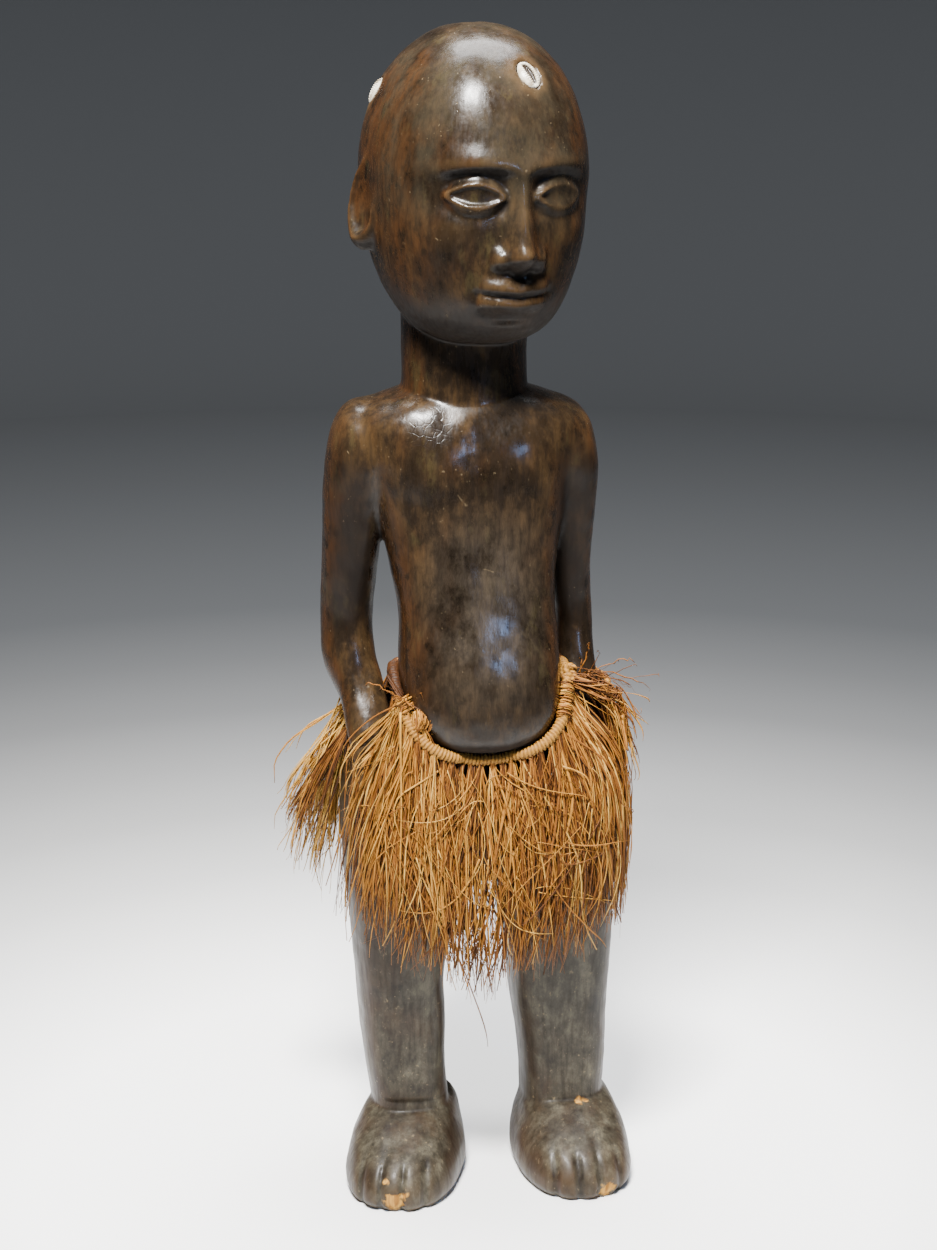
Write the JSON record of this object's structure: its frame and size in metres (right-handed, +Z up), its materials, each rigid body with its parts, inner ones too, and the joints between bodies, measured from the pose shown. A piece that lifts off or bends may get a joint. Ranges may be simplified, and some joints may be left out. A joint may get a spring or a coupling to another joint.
{
  "type": "carved wooden figure",
  "caption": "Standing carved wooden figure with hands on the hips, cowrie shells set in the head and a raffia fringe skirt on a whipped waist cord.",
  "frame": {"origin": "middle of the base of the whole part's box, on the surface that the feet stand on", "axes": "+Z up, the figure looks along -Y, its own left hand is towards +X"},
  "size_m": [0.2349, 0.1732, 0.7798],
  "materials": {
    "wood": "dark brown lacquered hardwood, glossy on head, trunk and arms, duller on legs and feet",
    "shell": "ivory white money cowrie with a natural porcelain gloss",
    "cord": "tight wrapping of plant fibre, matt",
    "raffia": "loose dry raffia strands, orange tan, matt"
  },
  "bodies": {
    "root": {"figure": "wood", "cowrie_front": "shell", "cowrie_side": "shell", "waist_cord": "cord", "raffia_skirt": "raffia"}
  },
  "joints": []
}
